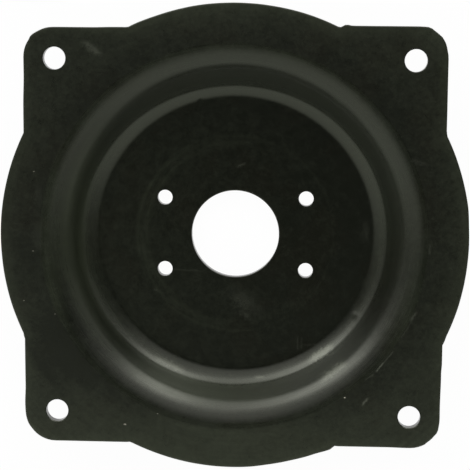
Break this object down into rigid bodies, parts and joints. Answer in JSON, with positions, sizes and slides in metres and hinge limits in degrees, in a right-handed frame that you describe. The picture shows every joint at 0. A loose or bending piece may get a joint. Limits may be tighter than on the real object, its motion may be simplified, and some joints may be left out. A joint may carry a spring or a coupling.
{
  "type": "pump diaphragm",
  "caption": "Moulded black rubber pump diaphragm: a dished disc with a rolled wall and a flat clamping flange, with bolt holes in its corner lugs and a bored disc for clamp plates.",
  "frame": {"origin": "middle of the centre bore, on the disc's underside, which is the lowest face", "axes": "+Z along the centre bore, up out of the open side of the dish; X and Y along the sides of the square that the lugs belong to, X along the wider spacing of the clamp plate's screw holes"},
  "size_m": [0.1418, 0.1418, 0.0151],
  "materials": {
    "rubber": "black moulded rubber with a dull sheen, lightly scuffed and dusty from use"
  },
  "bodies": {
    "root": {"diaphragm": "rubber"}
  },
  "joints": []
}
